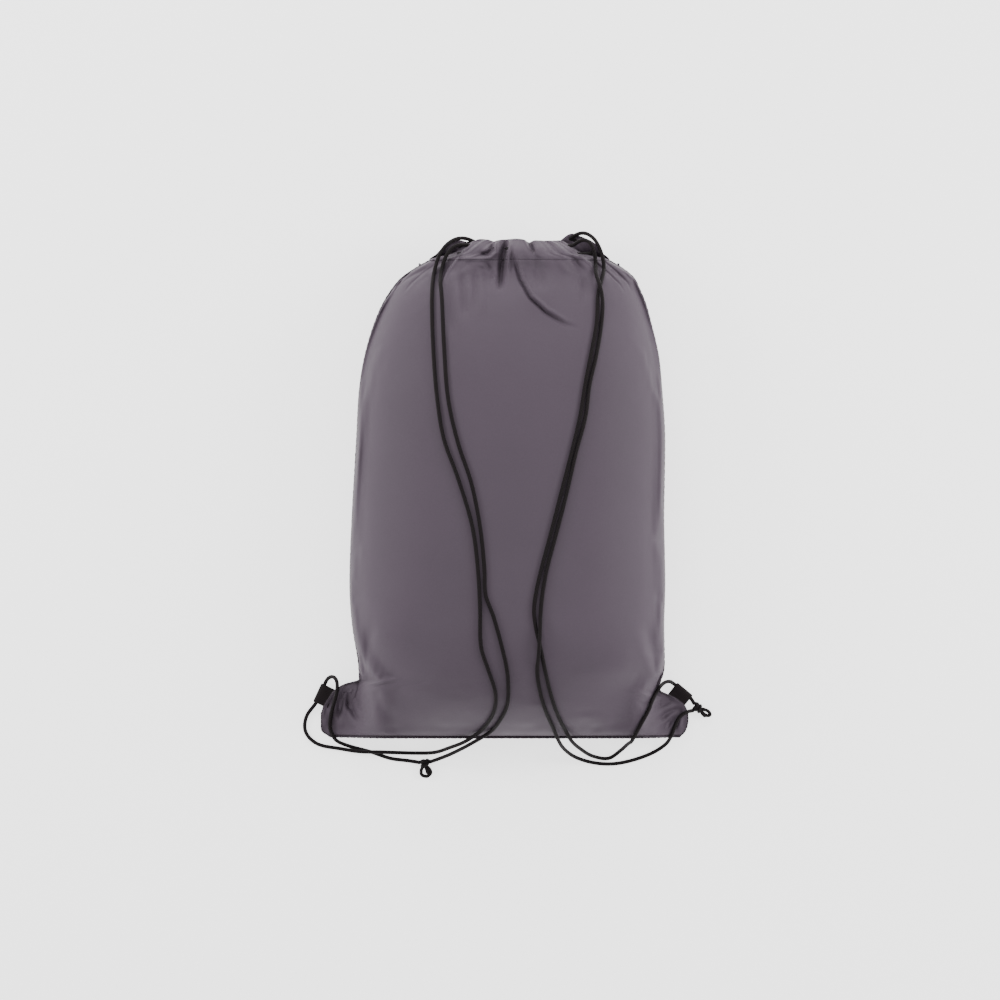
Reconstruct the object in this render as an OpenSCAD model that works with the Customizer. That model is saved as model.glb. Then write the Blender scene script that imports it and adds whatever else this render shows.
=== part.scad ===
// Drawstring shoe bag, filled out and lying on its front panel.
// Frame: +X to the right, +Y towards the mouth, +Z up, z = 0 is the surface that it lies on.

/* [Bag] */
// Height of the filled bag above the surface
fill_height = 118; // [108:1:124]
// Height of the side seams above the surface
seam_height = 36; // [32:1:40]
// Height of the flat corner ears at their tips
ear_height = 8; // [7:0.5:10]
// Thickness of a fabric wall
fabric = 0.8; // [0.6:0.1:1]
// Width of the raised seam that closes the panels
seam_d = 2; // [1.6:0.1:2.2]

/* [Mouth] */
// Outer thickness of a drawstring channel
channel_thickness = 9.4; // [9:0.1:10]
// Number of ruffles that the gathered hem makes
ruffles = 6; // [4:1:8]
// Height of each ruffle at the lip
ruffle_height = 1.6; // [0:0.1:2]
// Diameter of the thread line that closes a channel
stitch_d = 1; // [0.8:0.1:1.2]

/* [Cords] */
// Diameter of the two draw cords
cord_d = 3.5; // [3:0.1:3.6]
// Gap between a cord and the fabric below it
cord_gap = 0.4; // [0.2:0.1:0.8]
// Radius of the body of a knot
knot_r = 4.6; // [4:0.1:5]

/* [Corner tabs] */
// Width of the webbing that the tabs are cut from
tab_width = 18.5; // [17:0.5:19]
// Depth of a tab from its sewn edge to its fold
tab_depth = 13; // [12:0.5:14]
// Thickness of one layer of webbing
webbing = 1.3; // [1:0.1:1.5]
// Downward slope of the tabs, in degrees
tab_slope = 20; // [18:1:22]

/* [Hidden] */

fabric_colour = [0.44, 0.39, 0.45];
seam_colour = [0.22, 0.19, 0.23];
cord_colour = [0.14, 0.12, 0.13];
webbing_colour = [0.13, 0.11, 0.12];

// Places on the side seams: y against the left and right x of the bag's edge.
LEFT_EDGE = [
    [-231, -152], [-226, -163], [-216, -165], [-207, -161], [-197, -156], [-188, -151], [-178, -133],
    [-165, -133], [-130, -138], [-90, -140], [-30, -138], [40, -134], [90, -131], [120, -126],
    [150, -117], [168, -109], [182, -100], [190, -93], [198, -82], [206, -68]
];
RIGHT_EDGE = [
    [-231, 161], [-226, 165], [-216, 167], [-208, 163], [-199, 156], [-190, 148], [-178, 146],
    [-165, 147], [-130, 147], [-90, 148], [-30, 147], [40, 148], [90, 145], [120, 142],
    [150, 135], [168, 130], [182, 124], [190, 120], [198, 111], [206, 98]
];
// The stuffed core ends short of the ears: half width of the core against y.
CORE = [[-231, 60], [-227, 84], [-220, 102], [-210, 117], [-198, 128], [-184, 137], [-170, 142], [-160, 160]];
// Height of the crown over the seams, as a share of the full height.
CROWN = [
    [-231, 0.02], [-229, 0.2], [-224, 0.38], [-214, 0.6], [-198, 0.8], [-170, 0.92], [-120, 0.98],
    [-60, 1], [20, 1], [70, 0.97], [110, 0.9], [145, 0.8], [175, 0.66], [192, 0.52], [206, 0.4]
];
// Depth of the front panel under the seams, as a share of the seam height: over 1 lies flat.
BELLY = [
    [-231, 0.02], [-229, 0.25], [-224, 0.55], [-214, 0.9], [-200, 1.25], [-170, 1.6], [-60, 1.8],
    [100, 1.7], [150, 1.4], [180, 1.1], [206, 0.75]
];
centre_x = 5;
mouth_y = 206;
bottom_y = -231;
crown_height = fill_height - seam_height;
dome_power = 2.6;
ear_start_y = -170;
ear_layer = 2 * fabric;
columns = 22;
PANEL_ROWS = [
    -231, -230, -228, -225, -221, -216, -210, -203, -196, -188, -178, -165, -145, -115, -75, -30,
    15, 60, 95, 120, 142, 160, 174, 185, 194, 200, 206
];

// ---- the filled shape ----

function clamp01(t) = max(0, min(1, t));
function smooth(t) = let (c = clamp01(t)) c * c * (3 - 2 * c);

// Seam height: level along the body and drooping out to the ears' tips.
function seam_z(x, y) =
    let (out = smooth((abs(x - centre_x) - 112) / 50), low = smooth((ear_start_y - y) / 34))
    seam_height - (seam_height - ear_height) * out * low;

// Share of the dome's full height at x, on the row at y.
function dome(x, y) =
    let (
        left = max(lookup(y, LEFT_EDGE), centre_x - lookup(y, CORE)),
        right = min(lookup(y, RIGHT_EDGE), centre_x + lookup(y, CORE)),
        u = abs(2 * x - left - right) / (right - left)
    )
    u >= 1 ? 0 : pow(1 - pow(u, dome_power), 0.5);

function back_rise(x, y) = max(ear_layer, crown_height * lookup(y, CROWN) * dome(x, y));
function front_drop(x, y) = max(ear_layer, seam_height * lookup(y, BELLY) * dome(x, y));

// Outside of the back panel, and outside of the front panel, which lies flat where it reaches z = 0.
function back_z(x, y) = seam_z(x, y) + back_rise(x, y);
function front_z(x, y) = max(0, seam_z(x, y) - front_drop(x, y));

// One grid point of a panel. layer is 0 outside and 1 inside, and the panel's edges lie at seam height.
function panel_point(side, i, j, layer) =
    let (
        y_row = PANEL_ROWS[j],
        inset = layer * fabric,
        y = y_row + (j == 0 ? inset : 0),
        left = lookup(y_row, LEFT_EDGE) + inset,
        right = lookup(y_row, RIGHT_EDGE) - inset,
        spread = sin(90 * (2 * i / columns - 1)),
        x = (left + right) / 2 + spread * (right - left) / 2,
        on_edge = i == 0 || i == columns || j == 0,
        level = seam_z(x, y),
        outside = side > 0 ? back_z(x, y) : front_z(x, y)
    )
    [x, y, on_edge ? level : outside - side * inset];

// A grid of points wrapped round both faces of a thin wall, closed along all four edges.
module wall(side) {
    rows = len(PANEL_ROWS);
    across = columns + 1;
    layer_size = rows * across;
    points = [
        for (layer = [0, 1], j = [0 : rows - 1], i = [0 : columns]) panel_point(side, i, j, layer)
    ];
    function at(layer, i, j) = layer * layer_size + j * across + i;
    outer = [
        for (j = [0 : rows - 2], i = [0 : columns - 1])
            each [
                [at(0, i, j), at(0, i, j + 1), at(0, i + 1, j)],
                [at(0, i + 1, j), at(0, i, j + 1), at(0, i + 1, j + 1)]
            ]
    ];
    inner = [
        for (j = [0 : rows - 2], i = [0 : columns - 1])
            each [
                [at(1, i, j), at(1, i + 1, j), at(1, i, j + 1)],
                [at(1, i + 1, j), at(1, i + 1, j + 1), at(1, i, j + 1)]
            ]
    ];
    ends = [
        for (i = [0 : columns - 1])
            each [
                [at(0, i, 0), at(0, i + 1, 0), at(1, i + 1, 0)], [at(0, i, 0), at(1, i + 1, 0), at(1, i, 0)],
                [at(0, i, rows - 1), at(1, i + 1, rows - 1), at(0, i + 1, rows - 1)],
                [at(0, i, rows - 1), at(1, i, rows - 1), at(1, i + 1, rows - 1)]
            ]
    ];
    sides = [
        for (j = [0 : rows - 2])
            each [
                [at(0, 0, j), at(1, 0, j), at(0, 0, j + 1)], [at(1, 0, j), at(1, 0, j + 1), at(0, 0, j + 1)],
                [at(0, columns, j), at(0, columns, j + 1), at(1, columns, j)],
                [at(1, columns, j), at(0, columns, j + 1), at(1, columns, j + 1)]
            ]
    ];
    faces = concat(outer, inner, ends, sides);
    polyhedron(points, side > 0 ? faces : [for (f = faces) [f[0], f[2], f[1]]]);
}

// ---- tubes ----

function unit(v) = v / norm(v);

// A ring round the route's point k, square to the route there.
function ring(route, k, r, count) =
    let (
        last = len(route) - 1,
        along = unit(route[min(last, k + 1)] - route[max(0, k - 1)]),
        across = unit(cross(along, [0, 0, 1])),
        up = cross(across, along)
    )
    [for (a = [0 : count - 1]) route[k] + r * (cos(360 * a / count) * across + sin(360 * a / count) * up)];

// A tube of constant radius through the route's points, with flat ends.
module tube(route, r, count) {
    last = len(route) - 1;
    points = [for (k = [0 : last]) each ring(route, k, r, count)];
    walls = [
        for (k = [0 : last - 1], a = [0 : count - 1])
            let (b = (a + 1) % count, low = k * count, high = low + count)
            each [[low + a, high + a, low + b], [low + b, high + a, high + b]]
    ];
    caps = [[for (a = [0 : count - 1]) a], [for (a = [count - 1 : -1 : 0]) last * count + a]];
    polyhedron(points, concat(walls, caps));
}

// ---- panels and seams ----

module back_panel() {
    color(fabric_colour) wall(1);
}

module front_panel() {
    color(fabric_colour) wall(-1);
}

module seam(route) {
    color(seam_colour) tube(route, seam_d / 2, 8);
}

// A seam's middle lies this far outside the panels' edge.
seam_offset = 0.3 * seam_d;

function left_seam_point(y) = let (x = lookup(y, LEFT_EDGE)) [x - seam_offset, y, seam_z(x, y)];
function right_seam_point(y) = let (x = lookup(y, RIGHT_EDGE)) [x + seam_offset, y, seam_z(x, y)];
SIDE_ROWS = [-187, -178, -165, -130, -90, -30, 40, 90, 120, 150, 168, 182, 190, 198, 206];
// The bottom seam also closes the ears' outer edges below the tabs.
LOW_ROWS = [-211, -216, -221, -226, -230];
BOTTOM_X = [-140, -124, -108, -80, -40, 5, 50, 90, 118, 134, 150];

module left_side_seam() {
    seam([for (y = SIDE_ROWS) left_seam_point(y)]);
}

module right_side_seam() {
    seam([for (y = SIDE_ROWS) right_seam_point(y)]);
}

module bottom_seam() {
    seam(concat(
        [for (y = LOW_ROWS) left_seam_point(y)],
        [for (x = BOTTOM_X) [x, bottom_y - seam_offset, seam_z(x, bottom_y)]],
        [for (k = [len(LOW_ROWS) - 1 : -1 : 0]) right_seam_point(LOW_ROWS[k])]
    ));
}

// ---- mouth ----

channel_half = channel_thickness / 2;
foot_half = 1.2;
lip_half = 1.8;
lip_gap = 0.4;
hem_steps = 36;
// Half thickness of a channel, from its stitched foot at 0 to the lip at 1.
CHANNEL_SHAPE = [[0, foot_half], [0.26, channel_half], [0.74, channel_half], [1, lip_half]];

// Foot and lip of each hem, from its left end at s = 0 to its right end at s = 1.
function back_foot(s) = let (x = -56 + 142 * s) [x, mouth_y + lip_gap, back_z(x, mouth_y) - foot_half];
function back_lip(s) = [-24 + 78 * s, 226, 48 + 10 * sin(180 * s)];
function front_foot(s) = let (x = -62 + 156 * s) [x, mouth_y, front_z(x, mouth_y) + foot_half];
function front_lip(s) = [-30 + 96 * s, 228.6 + 4 * sin(180 * s), 30 - 12 * sin(180 * s)];

// A place in a hem: s along it, t from foot to lip, h out of its middle plane.
function hem_point(side, s, t, h) =
    let (
        foot = side > 0 ? back_foot(s) : front_foot(s),
        lip = side > 0 ? back_lip(s) : front_lip(s),
        across = unit(lip - foot),
        out = unit([0, -across.z, across.y]),
        ruffle = ruffle_height * t * sin(360 * ruffles * s) * sin(180 * s)
    )
    foot + t * (lip - foot) + (h + ruffle) * out;

// The channel's section: layer 0 outside, layer 1 inside, counted round from the foot.
function channel_corner(layer, k) =
    let (
        share = [0, 0.26, 0.74, 1, 1, 0.74, 0.26, 0][k],
        t = layer == 0 ? share : 0.06 + 0.88 * share,
        half = lookup(share, CHANNEL_SHAPE) - layer * fabric
    )
    [t, k < 4 ? half : -half];

// A flat tube of fabric, open at both ends, where the cords run.
module hem(side) {
    sides = 8;
    points = [
        for (n = [0 : hem_steps], layer = [0, 1], k = [0 : sides - 1])
            let (c = channel_corner(layer, k)) hem_point(side, n / hem_steps, c[0], c[1])
    ];
    function at(n, layer, k) = (2 * n + layer) * sides + k % sides;
    walls = [
        for (n = [0 : hem_steps - 1], k = [0 : sides - 1])
            each [
                [at(n, 0, k), at(n + 1, 0, k), at(n, 0, k + 1)],
                [at(n, 0, k + 1), at(n + 1, 0, k), at(n + 1, 0, k + 1)],
                [at(n, 1, k), at(n, 1, k + 1), at(n + 1, 1, k)],
                [at(n, 1, k + 1), at(n + 1, 1, k + 1), at(n + 1, 1, k)]
            ]
    ];
    ends = [
        for (k = [0 : sides - 1])
            each [
                [at(0, 0, k), at(0, 0, k + 1), at(0, 1, k)],
                [at(0, 0, k + 1), at(0, 1, k + 1), at(0, 1, k)],
                [at(hem_steps, 0, k), at(hem_steps, 1, k), at(hem_steps, 0, k + 1)],
                [at(hem_steps, 0, k + 1), at(hem_steps, 1, k), at(hem_steps, 1, k + 1)]
            ]
    ];
    polyhedron(points, concat(walls, ends));
}

module back_hem() {
    color(fabric_colour) hem(1);
}

module front_hem() {
    color(fabric_colour) hem(-1);
}

// A thread line's place in a hem, from foot to lip, and how far it stands out of the fabric.
stitch_t = 0.05;
stitch_bedding = 0.3;
stitch_steps = 24;

// A line of thread that closes a channel along its foot, bedded in the outer face.
module hem_stitch(side) {
    depth = foot_half + stitch_bedding * stitch_d;
    route = [
        for (n = [1 : stitch_steps - 1]) hem_point(side, n / stitch_steps, stitch_t, side * depth)
    ];
    color(seam_colour) tube(route, stitch_d / 2, 6);
}

module back_hem_stitch() {
    hem_stitch(1);
}

module front_hem_stitch() {
    hem_stitch(-1);
}

// Dense stitches that end a side seam where the channels open.
module slit_bartack(place) {
    bartack_size = [4, 6, 3.4];
    color(seam_colour) translate(place) cube(bartack_size, center = true);
}

module left_slit_bartack() {
    slit_bartack(left_seam_point(202));
}

module right_slit_bartack() {
    slit_bartack(right_seam_point(202));
}

// ---- corner tabs ----

LEFT_TAB_BASE = [-160.5, -196.8, 8.6];
RIGHT_TAB_BASE = [160, -197.5, 8.6];
left_tab_turn = 155;
right_tab_turn = 37;
tunnel_r = cord_d / 2 + 0.25;
fold_r = tunnel_r + webbing;
tab_root = 0.6;
tab_reach = tab_depth - fold_r;

// A strip of webbing folded over the cord: its two layers meet at the sewn root.
module tab(base, turn) {
    color(webbing_colour)
        translate(base) rotate([0, tab_slope, turn]) rotate([90, 0, 0])
            linear_extrude(height = tab_width, center = true)
                difference() {
                    union() {
                        translate([tab_reach, 0]) circle(r = fold_r, $fn = 48);
                        polygon([
                            [tab_root, -webbing], [tab_reach, -fold_r],
                            [tab_reach, fold_r], [tab_root, webbing]
                        ]);
                    }
                    translate([tab_reach, 0]) circle(r = tunnel_r, $fn = 48);
                }
}

// A place along the middle of a tab's tunnel: v from -1 at one mouth to 1 at the other.
function in_tunnel(base, turn, v) =
    let (reach = tab_reach * cos(tab_slope), along = v * tab_width / 2)
    base + [
        reach * cos(turn) - along * sin(turn),
        reach * sin(turn) + along * cos(turn),
        -tab_reach * sin(tab_slope)
    ];

module left_tab() {
    tab(LEFT_TAB_BASE, left_tab_turn);
}

module right_tab() {
    tab(RIGHT_TAB_BASE, right_tab_turn);
}

// Stitches that close the ear where a tab's ends are sewn in.
TAB_STITCH_ROWS = [-189, -193, -197, -201, -205, -209];

module left_tab_stitch() {
    seam([for (y = TAB_STITCH_ROWS) left_seam_point(y)]);
}

module right_tab_stitch() {
    seam([for (y = TAB_STITCH_ROWS) right_seam_point(y)]);
}

// ---- cords ----

cord_r = cord_d / 2;
floor_z = cord_r + 0.1;
// Height of a strand that lies over another one.
over_strand = cord_d + 0.4;
over_slope = cord_d + 2.9;
// Where a cord lies in its channel, from foot to lip: it crosses from one place to the other on its way.
outer_t = 0.68;
inner_t = 0.32;
// A cord's free strand starts this far outside its channel.
exit_gap = 1.8;

// The panels' outline, out to the far side of the seams.
seam_reach = 0.8 * seam_d;
function over_bag(x, y) =
    y > bottom_y - seam_reach && y < mouth_y
    && x > lookup(y, LEFT_EDGE) - seam_reach && x < lookup(y, RIGHT_EDGE) + seam_reach;

// Lowest height of a cord's middle at which its whole round section clears the back panel.
DRAPE_SHARES = [0, 0.5, 0.9];
function rest_z(x, y) =
    let (reach = cord_r + cord_gap)
    max([
        for (turn = [0 : 45 : 315], share = DRAPE_SHARES)
            let (px = x + share * reach * cos(turn), py = y + share * reach * sin(turn))
            over_bag(px, py) ? back_z(px, py) + reach * sqrt(1 - share * share) : 0
    ]);

// A cord's middle where it lies on the back panel, or over another strand there.
function on(x, y, lift = 0) = [x, y, rest_z(x, y) + lift];
function ground(x, y, lift = 0) = [x, y, floor_z + lift];

function raised(p) = [p.x, p.y, max(p.z, rest_z(p.x, p.y))];

// A route halved again and again where it would cut through the panel, and laid over the panel there.
drape_slack = 0.1;
drape_halvings = 3;
function spans(a, b, halvings) =
    let (middle = (a + b) / 2, laid = raised(middle))
    halvings == 0 || laid.z - middle.z < drape_slack
        ? [a]
        : concat(spans(a, laid, halvings - 1), spans(laid, b, halvings - 1));
function draped(route) =
    let (points = [for (p = route) raised(p)], last = len(points) - 1)
    concat([for (k = [0 : last - 1]) each spans(points[k], points[k + 1], drape_halvings)], [points[last]]);

// Just outside a channel's left end, s = 0, or right end, s = 1.
function slit_exit(side, s, t) = hem_point(side, s, t, 0) + [(2 * s - 1) * exit_gap, 0, 0];

// Each strand from its channel's end to its knot.
LEFT_BACK_STRAND = [
    slit_exit(1, 0, outer_t), [-42, 221, 53], [-50, 219, 56], [-56, 211, 57], on(-60, 200), on(-58, 187),
    on(-56, 171), on(-54, 129), on(-50, 78), on(-41, 38), on(-29, 2), on(-21, -38), on(-17, -76),
    on(-16, -100), on(-9, -119), on(-1, -148), on(4, -172), on(4, -200), on(-3, -216), on(-12, -227),
    [-28, -237, 45], [-48, -248, 23], [-62, -254, 9], [-67.6, -256, 5]
];
LEFT_FRONT_STRAND = [
    slit_exit(-1, 0, outer_t), [-45, 226, 32], [-48, 228, 40], [-53, 224, 47], [-59, 217, 53],
    [-63, 207, 56.5], on(-65, 195), on(-65, 178), on(-64, 129), on(-60, 78), on(-54, 42), on(-41, 6),
    on(-28, -38), on(-23, -76), on(-21, -112), on(-20, -148), on(-13, -170), on(-7, -190),
    on(-8, -206), on(-16, -221), on(-23, -228), [-35, -236, 43], [-49, -242, 27], [-63, -247, 12],
    ground(-80, -248), ground(-112, -247, over_strand), ground(-133, -246.5, over_strand),
    ground(-150, -244), ground(-173, -239), ground(-183, -228), ground(-182, -214),
    in_tunnel(LEFT_TAB_BASE, left_tab_turn, 1), in_tunnel(LEFT_TAB_BASE, left_tab_turn, -1),
    [-158, -177, 8.6], [-152.4, -179, 18], [-149.6, -186, 27], on(-153, -199, 0.5), on(-159, -213),
    on(-160, -224), on(-157.6, -231), [-154, -236.4, 7], ground(-144, -241), ground(-122, -247),
    ground(-104, -253), ground(-88, -255), [-77.4, -256.6, 4.6]
];
RIGHT_BACK_STRAND = [
    slit_exit(1, 1, outer_t), [74, 224, 53], [79, 221, 56], [83, 214, 58.5], on(84, 203),
    on(85, 194, 3), on(89, 181, over_slope), on(91, 168, 2), on(90, 148), on(85, 118), on(79, 92),
    on(75, 62), on(66, 28), on(58, -7), on(48, -46), on(40, -76), on(36, -98), on(34, -118),
    on(33.5, -134, over_strand), on(32.5, -154, over_strand), on(31, -170), on(34, -190),
    on(39, -207), on(46, -223), [51, -235, 45], [57, -244, 26], [68, -252, 9], ground(84, -257),
    ground(102, -258), ground(122, -254), ground(140, -247), [149, -241, 3.4], [153, -236.6, 9],
    on(155.4, -231.6), on(158, -225), on(162.6, -214.6), [167.4, -210.6, 11.6],
    [171.6, -208.6, 7.6], [176, -207.6, 3.8]
];
RIGHT_FRONT_STRAND = [
    slit_exit(-1, 1, outer_t), [80, 227, 32], [83, 231, 39], [86, 227, 46], [90, 219, 53],
    [92, 209, 57.5], on(92, 199), on(90, 187), on(87, 175), on(85.5, 148), on(80, 118), on(75, 92),
    on(70, 62), on(62, 28), on(53, -7), on(43, -46), on(35, -76), on(30, -98), on(28, -114),
    on(30, -131), on(34, -148), on(38, -168), on(44, -193), on(51, -213), on(57, -225),
    [62, -234, 46], [71, -243, 25], [84, -251, 6], ground(98, -253), [108, -246, 6],
    [115.6, -238.4, 24], [118.4, -236, 36], on(120.6, -231.6, 1), on(130, -214, 3), on(134, -207, 9),
    on(138, -200, 9.4),
    [141.8, -193.6, 40], [145.4, -187.6, 38], [150.6, -181.4, 27.5], [155, -179.2, 13],
    in_tunnel(RIGHT_TAB_BASE, right_tab_turn, 1.12), in_tunnel(RIGHT_TAB_BASE, right_tab_turn, -1),
    [175.6, -201.6, 6.4]
];

// A cord's stretch through a channel from its left end to its right: level is 1 for the cord that
// passes over the other one halfway, and -1 for the one that passes under it.
run_rings = 14;
crossing_h = 0.54 * cord_d;
function run(side, left_t, right_t, level) = [
    for (n = [0 : run_rings])
        let (s = n / run_rings)
        hem_point(side, s, left_t + (right_t - left_t) * s, level * crossing_h * sin(180 * s))
];

// The turn from the back channel's end to the front one's, bulging out of the slit.
turn_bulge = 9;
function slit_turn(s) =
    let (
        top = slit_exit(1, s, inner_t),
        low = hem_point(-1, s, inner_t, 0),
        out = [(2 * s - 1) * turn_bulge, 0, 0]
    )
    [
        top, top + 0.5 * out - [0, 0, 1], top + out - [0, 0, 5], (top + low) / 2 + 1.3 * out,
        low + out + [0, 0, 5], low + 0.5 * out + [0, 0, 1]
    ];
function reversed(list) = [for (k = [len(list) - 1 : -1 : 0]) list[k]];

module cord(route) {
    color(cord_colour) tube(route, cord_r, 8);
}

module left_cord() {
    cord(draped(LEFT_BACK_STRAND));
    cord(draped(LEFT_FRONT_STRAND));
}

module right_cord() {
    cord(draped(RIGHT_BACK_STRAND));
    cord(draped(RIGHT_FRONT_STRAND));
}

module left_cord_back_run() {
    cord(run(1, outer_t, inner_t, 1));
}

module left_cord_front_run() {
    cord(concat(run(-1, outer_t, inner_t, 1), reversed(slit_turn(1))));
}

module right_cord_back_run() {
    cord(run(1, inner_t, outer_t, -1));
}

module right_cord_front_run() {
    cord(concat(slit_turn(0), run(-1, inner_t, outer_t, -1)));
}

// ---- knots ----

// A pear-shaped knot: a round body and a smaller end, drawn together.
module knot(body, end, share) {
    color(cord_colour)
        hull() {
            translate([body.x, body.y, knot_r + body.z]) sphere(r = knot_r, $fn = 24);
            translate([end.x, end.y, share * knot_r + end.z]) sphere(r = share * knot_r, $fn = 24);
        }
}

module left_knot() {
    knot([-72.5, -257.6, 0.1], [-72.5, -263, 0.1], 0.76);
}

module right_knot() {
    knot([181, -204, 0.4], [186, -206.4, 0.4], 0.72);
}

back_panel();
front_panel();
back_hem();
front_hem();
left_side_seam();
right_side_seam();
bottom_seam();
back_hem_stitch();
front_hem_stitch();
left_slit_bartack();
right_slit_bartack();
left_tab();
right_tab();
left_tab_stitch();
right_tab_stitch();
left_cord();
right_cord();
left_cord_back_run();
left_cord_front_run();
right_cord_back_run();
right_cord_front_run();
left_knot();
right_knot();
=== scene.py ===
"""Looks of the drawstring shoe bag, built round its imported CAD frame. Everything is in metres."""

import math

import bpy
import numpy as np
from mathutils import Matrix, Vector
from mathutils.bvhtree import BVHTree


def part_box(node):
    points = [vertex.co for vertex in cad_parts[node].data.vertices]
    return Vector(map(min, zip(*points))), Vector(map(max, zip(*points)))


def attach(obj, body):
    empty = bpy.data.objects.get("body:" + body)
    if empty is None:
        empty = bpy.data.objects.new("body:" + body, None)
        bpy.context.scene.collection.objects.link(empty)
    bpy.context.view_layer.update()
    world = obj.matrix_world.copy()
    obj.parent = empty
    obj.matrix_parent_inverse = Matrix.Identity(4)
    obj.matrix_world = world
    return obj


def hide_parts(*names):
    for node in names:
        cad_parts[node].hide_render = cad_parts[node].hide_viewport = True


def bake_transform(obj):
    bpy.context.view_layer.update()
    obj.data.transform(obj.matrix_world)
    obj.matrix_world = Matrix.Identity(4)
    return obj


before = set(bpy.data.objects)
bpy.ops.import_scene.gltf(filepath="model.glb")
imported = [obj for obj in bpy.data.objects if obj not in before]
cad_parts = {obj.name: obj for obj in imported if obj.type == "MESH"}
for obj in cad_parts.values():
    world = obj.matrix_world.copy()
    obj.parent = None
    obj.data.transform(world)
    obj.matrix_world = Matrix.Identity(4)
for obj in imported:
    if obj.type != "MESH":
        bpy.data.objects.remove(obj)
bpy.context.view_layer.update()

MM = 0.001

# ---- Driving sizes

seam_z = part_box("left_side_seam")[1].z - 1.0 * MM
fill_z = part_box("back_panel")[1].z
ear_z = 8 * MM
cord_d = 3.5 * MM
cord_r = cord_d / 2
cloth = 0.45 * MM
CENTRE_X = 5 * MM
MOUTH_Y = 206 * MM
# Lowest height of the cloth's points over the table.
LOWEST_CLOTH = 0.3 * MM

# Edges of the bag where the panels are sewn together: (y, x) in millimetres. They keep within a few
# millimetres of the CAD's edges.
LEFT_EDGE = [
    (-231, -160), (-228, -165), (-223, -166.8), (-213, -166.8), (-206, -165.5), (-197, -160), (-189, -153.5),
    (-184, -145), (-179.5, -131.5), (-165, -132), (-130, -137.5), (-90, -140), (-30, -138), (40, -134), (90, -131),
    (120, -126), (150, -117), (168, -109), (182, -100), (190, -93), (198, -82), (206, -68),
]
RIGHT_EDGE = [
    (-231, 163.5), (-228, 166.5), (-223, 168.8), (-216, 169.8), (-209, 169), (-203.5, 166.5), (-198, 159.5),
    (-194, 152), (-191, 145.5), (-187, 142.6), (-181, 144), (-172, 146.8), (-160, 147.6), (-130, 147), (-90, 148),
    (-30, 147), (40, 148), (90, 145), (120, 142), (150, 135), (168, 130), (182, 124), (190, 120), (198, 111),
    (206, 98),
]
# Edges of the filled body, which run on past the notches under the ears.
BODY_LEFT = [(-231, -159), (-218, -153), (-205, -146), (-192, -138), (-181, -132.6)] + LEFT_EDGE[9:]
BODY_RIGHT = [(-231, 163), (-218, 158), (-205, 151), (-192, 145), (-184, 143.4), (-178, 144.8)] + RIGHT_EDGE[11:]
# Height of the crown and depth of the belly against y, as shares of the full height and depth.
CROWN = [
    (-231, 0.02), (-228, 0.15), (-222, 0.3), (-213, 0.47), (-198, 0.67), (-178, 0.83), (-150, 0.94),
    (-110, 0.99), (-60, 1), (20, 1), (70, 0.97), (110, 0.9), (145, 0.8), (175, 0.66), (192, 0.52), (206, 0.4),
]
BELLY = [
    (-231, 0.02), (-229, 0.25), (-224, 0.55), (-214, 0.9), (-200, 1.25), (-170, 1.6), (-60, 1.8),
    (100, 1.7), (150, 1.4), (180, 1.1), (206, 0.75),
]
DOME_POWER = 2.6
# How softly the rise ends at the panels' edge: a full round edge along the body, a long slope over the ears.
EDGE_EASE = [
    (-231, 1.5), (-214, 1.4), (-198, 1.15), (-182, 0.85), (-166, 0.64), (-148, 0.53), (-125, 0.5), (206, 0.5),
]
EAR_LAYER = 2.8 * MM


# ---- Small tools


def hermite(a, b, slope_a, slope_b, step, u):
    """The smooth cubic from a to b at share u of a step, with the given slopes at its ends."""
    return (
        a * (2 * u**3 - 3 * u**2 + 1) + slope_a * step * (u**3 - 2 * u**2 + u)
        + b * (3 * u**2 - 2 * u**3) + slope_b * step * (u**3 - u**2)
    )


def through(points, key_unit=MM, value_unit=MM):
    """A smooth function through (key, value) points, with no overshoot."""
    t = np.array([p[0] for p in points], float) * key_unit
    v = np.array([p[1] for p in points], float) * value_unit
    step, rise = np.diff(t), np.diff(v)
    slope = rise / step
    tangent = np.concatenate([[slope[0]], (slope[:-1] + slope[1:]) / 2, [slope[-1]]])
    tangent[1:-1][slope[:-1] * slope[1:] <= 0] = 0
    limit = 3 * np.minimum(np.abs(np.append(slope[0], slope)), np.abs(np.append(slope, slope[-1])))
    tangent = np.clip(tangent, -limit, limit)

    def at(key):
        key = np.clip(key, t[0], t[-1])
        i = np.clip(np.searchsorted(t, key, side="right") - 1, 0, len(t) - 2)
        return hermite(v[i], v[i + 1], tangent[i], tangent[i + 1], step[i], (key - t[i]) / step[i])

    return at


def smooth(t):
    t = np.clip(t, 0, 1)
    return t * t * (3 - 2 * t)


def unit(v):
    return v / np.maximum(np.linalg.norm(v, axis=-1, keepdims=True), 1e-12)


def travelled(line):
    """How far along a line of points each one is."""
    return np.concatenate([[0], np.cumsum(np.linalg.norm(np.diff(line, axis=0), axis=1))])


left_edge, right_edge = through(LEFT_EDGE), through(RIGHT_EDGE)
body_left, body_right = through(BODY_LEFT), through(BODY_RIGHT)
crown, belly, edge_ease = (through(table, MM, 1) for table in (CROWN, BELLY, EDGE_EASE))


def add_mesh(name, points, faces, material):
    mesh = bpy.data.meshes.new(name)
    mesh.from_pydata([tuple(p) for p in points], [], faces)
    mesh.validate()
    mesh.update()
    mesh.polygons.foreach_set("use_smooth", [True] * len(mesh.polygons))
    piece = bpy.data.objects.new(name, mesh)
    bpy.context.scene.collection.objects.link(piece)
    if material is not None:
        mesh.materials.append(material)
    return piece


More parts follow.
